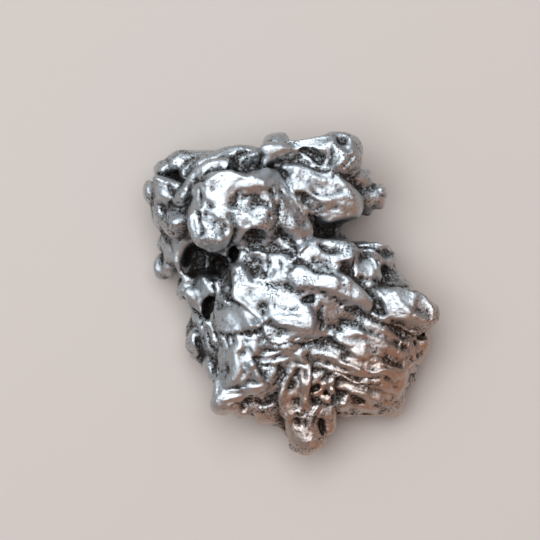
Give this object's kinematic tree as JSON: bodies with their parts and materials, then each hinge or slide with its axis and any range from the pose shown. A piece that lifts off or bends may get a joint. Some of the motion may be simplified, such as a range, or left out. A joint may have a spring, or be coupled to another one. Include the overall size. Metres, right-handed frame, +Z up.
{
  "type": "iron meteorite",
  "caption": "Solid nickel-iron meteorite lump with bosses, finger-like ridges, clefts and caves, lying on its flat underside.",
  "frame": {"origin": "centre of the box's underside, on the surface that the lump rests on", "axes": "+Z up out of the broad face that the picture looks down on, +X to the picture's right, +Y to its top"},
  "size_m": [0.0506, 0.0552, 0.0249],
  "materials": {
    "nickel_iron": "rubbed bright metal, dark in the hollows"
  },
  "bodies": {
    "root": {"meteorite": "nickel_iron"}
  },
  "joints": []
}
